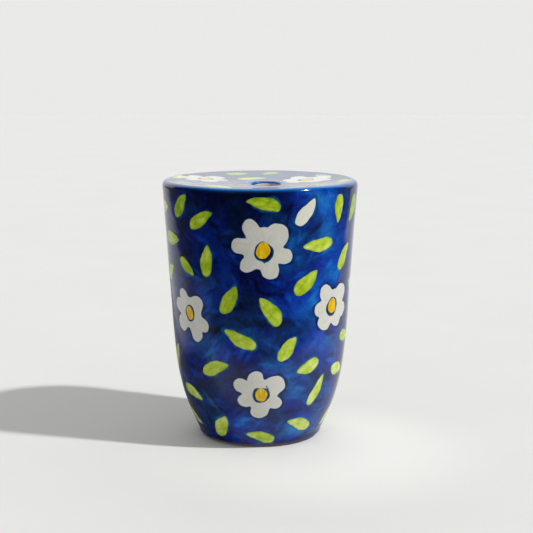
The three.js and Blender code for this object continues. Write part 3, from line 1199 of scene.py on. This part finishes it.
def clay_slab(tree, material):
    """The top's clay, sagged in the middle, with the mouth cut through and its edge rubbed round."""
    seat = wall_radius(WALL_TOP) - CLAY_DEPTH - WALL
    outer = wall_radius(SLAB_UNDERSIDE) - CLAY_DEPTH
    rows = []
    for share in spread(1, 0, 20):
        radius = seat + (CLAY_BORE + 0.4 - seat) * share
        level = SLAB_UNDERSIDE - SINK * (1 - (radius / seat) ** 2)
        rows.append((radius, level, share, 0.0))
    rows += centred([(r, SLAB_UNDERSIDE) for r in spread(seat + 1, outer - 0.3, 5)])
    rows += centred(wall_rows(CLAY_DEPTH, SLAB_UNDERSIDE + 0.3, SHOULDER, 3))
    rows += centred(arc(CREST_RADIUS, SHOULDER, RIM_ROUND - CLAY_DEPTH, 10, 90, 6))
    rows += across_top(CLAY_DEPTH, 0, 1, 20)[1:]
    rows += in_mouth(arc(LIP_CENTRE, LIP_LEVEL - WAVE_INSET, LIP_ROUND - CLAY_DEPTH, 70, 150, 3))
    rows += in_mouth([(LIP_CENTRE - 0.4, LIP_LEVEL), (CLAY_BORE + 0.2, LIP_LEVEL - 0.03)], run=1.1)
    rows += in_mouth([(CLAY_BORE, LIP_LEVEL - 0.25)], run=1.1)
    lowest = SLAB_UNDERSIDE - SINK * (1 - (CLAY_BORE / seat) ** 2)
    rows += in_mouth([(CLAY_BORE, z) for z in spread(LIP_LEVEL - 2.8, lowest + 0.4, 6)])
    piece = closed_shell("clay_slab", rows, CLAY_COLUMNS)
    return finish_by_hand(piece, tree, material, groove=0.04, pitch=1.2)


def clay_coil(tree, material):
    """The coil pressed into the corner, its hollow face dented by the thumb."""
    outer = wall_radius(WALL_TOP - COIL) - CLAY_DEPTH - WALL - GAP
    top = WALL_TOP - 2 * GAP
    reach = COIL + COIL_EDGE
    down = [(outer, z) for z in spread(top - reach + 0.1, top - 0.1, 8)]
    across = [(r, top) for r in spread(outer - 0.1, outer - reach + 0.1, 8)]
    hollow = arc(outer - reach, top - reach, COIL, 88, 2, 12)
    rows = centred(down + across + hollow)
    columns = CLAY_COLUMNS * 2
    points = ring_points(rows, columns)
    around = np.arange(columns) * 2 * math.pi / columns
    dent = COIL_DENT_DEPTH * np.sin(around * COIL_DENTS / 2) ** 2
    pressed = np.sin(np.linspace(0, math.pi, len(hollow)))[:, None] * dent
    points[-len(hollow):, :, :2] *= 1 + pressed[..., None] / outer
    faces = ring_faces(len(rows), columns, closed=True)
    piece = new_object("clay_coil", points.reshape(-1, 3), faces)
    return finish_by_hand(piece, tree, material)


def clay_foot(tree, material):
    """The foot ring, turned on the wheel, its lower edges worn round."""
    bevel = 0.9
    sole = [(r, 0.05) for r in spread(FOOT_INNER + bevel, FOOT_OUTER - bevel, 8)]
    outer_edge = arc(FOOT_OUTER - bevel, bevel, bevel - 0.05, -80, 0, 5)
    outside = [(FOOT_OUTER - 0.05, z) for z in spread(bevel + 0.4, FOOT_TOP - 0.1, 4)]
    top = [(r, FOOT_TOP) for r in spread(FOOT_OUTER - 0.2, FOOT_INNER + 0.2, 8)]
    inside = [(FOOT_INNER + 0.05, z) for z in spread(FOOT_TOP - 0.1, bevel + 0.4, 4)]
    inner_edge = arc(FOOT_INNER + bevel, bevel, bevel - 0.05, 180, 260, 5)
    rows = centred(sole + outer_edge + outside + top + inside + inner_edge)
    piece = closed_shell("clay_foot", rows, CLAY_COLUMNS * 2)
    return finish_by_hand(piece, tree, material, groove=0.03, pitch=1.5)


def liner(tree, material):
    """The clear glaze inside the cup, following its grooves."""
    high = WALL_TOP - COIL - COIL_EDGE - 3 * GAP
    back = cup_inside(GAP, high, 80)
    face = cup_inside(GAP + LINER, high, 80)[::-1]
    lip = [((back[-1][0] + face[0][0]) / 2, high + 0.15)]
    rows = centred(back + lip + face)
    piece = capped_shell("liner_glaze", rows, CLAY_COLUMNS, FLOOR_TOP + GAP, FLOOR_TOP + GAP + LINER)
    return finish_by_hand(piece, tree, material, groove=0.08, pitch=4.5)


# ---- Stage, light and camera ----


def stage():
    corners = [(-1, -1), (1, -1), (1, 1), (-1, 1)]
    points = np.array([(x * FLOOR_REACH, y * FLOOR_REACH, 0) for x, y in corners], float)
    floor = new_object("floor", points, [(0, 1, 2, 3)])
    floor.data.materials.append(pale_floor())


def studio_light():
    """A small hard key from the right, and a pale room that is dark low down on the camera's side."""
    lamp = bpy.data.lights.new("key", "SUN")
    lamp.energy = KEY_STRENGTH
    lamp.angle = math.radians(KEY_BREADTH)
    lamp.color = (1.0, 0.99, 0.965)
    key = bpy.data.objects.new("key", lamp)
    key.rotation_euler = Vector(TO_KEY).to_track_quat("Z", "Y").to_euler()
    bpy.context.scene.collection.objects.link(key)

    world = bpy.data.worlds.new("room")
    world.use_nodes = True
    bpy.context.scene.world = world
    tree = world.node_tree
    parts = split(tree, add(tree, "ShaderNodeTexCoord").outputs["Generated"])
    azimuth = math_step(tree, "ABSOLUTE", math_step(tree, "ARCTAN2", parts["X"], parts["Y"]))
    backdrop = remap(tree, azimuth, math.radians(54), math.radians(62), 1.0, 0.0)
    above = remap(tree, parts["Z"], 0.02, 0.3)
    rays = add(tree, "ShaderNodeLightPath").outputs
    ceiling = mix(tree, rays["Is Glossy Ray"], (0.50, 0.50, 0.49), (0.05, 0.055, 0.07))
    room = mix(tree, above, (0.03, 0.033, 0.04), ceiling)
    higher = remap(tree, parts["Z"], 0.12, 0.38)
    mirrored = mix(tree, higher, (0.98, 1.0, 1.0), (1.42, 1.47, 1.48))
    paper = mix(tree, rays["Is Glossy Ray"], (0.69, 0.685, 0.67), mirrored)
    room = mix(tree, backdrop, room, paper)
    colour = mix(tree, rays["Is Camera Ray"], room, (0.82, 0.822, 0.80))
    fill(tree, tree.nodes["Background"], {"Color": colour})


def camera():
    lens = bpy.data.cameras.new("camera")
    lens.lens = LENS
    lens.sensor_width = SENSOR
    lens.clip_end = 50
    eye = bpy.data.objects.new("camera", lens)
    eye.location = CAMERA_PLACE
    eye.rotation_euler = (math.radians(CAMERA_TILT), 0, 0)
    bpy.context.scene.collection.objects.link(eye)
    bpy.context.scene.camera = eye
    bpy.context.scene.view_settings.view_transform = "Standard"


# ---- Everything together ----


def main():
    camera()
    stage()
    studio_light()
    brush_streaks_group()
    paint_edge_group()
    fired_specks_group()
    clay = bare_clay()
    painted = painted_glaze()
    clear = clear_glaze()
    tree = hand_finish_tree()
    pieces = [
        (painted_coat(tree, painted), "painted_coat", "painted_glaze"),
        (clay_cup(tree, clay), "thrown_cup", "bare_clay"),
        (clay_slab(tree, clay), "top_slab", "bare_clay"),
        (clay_coil(tree, clay), "sealing_coil", "bare_clay"),
        (clay_foot(tree, clay), "foot_ring", "bare_clay"),
        (liner(tree, clear), "liner_coat", "clear_glaze"),
    ]
    for piece, node, slot in pieces:
        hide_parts(node)
        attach(piece, "root")


main()
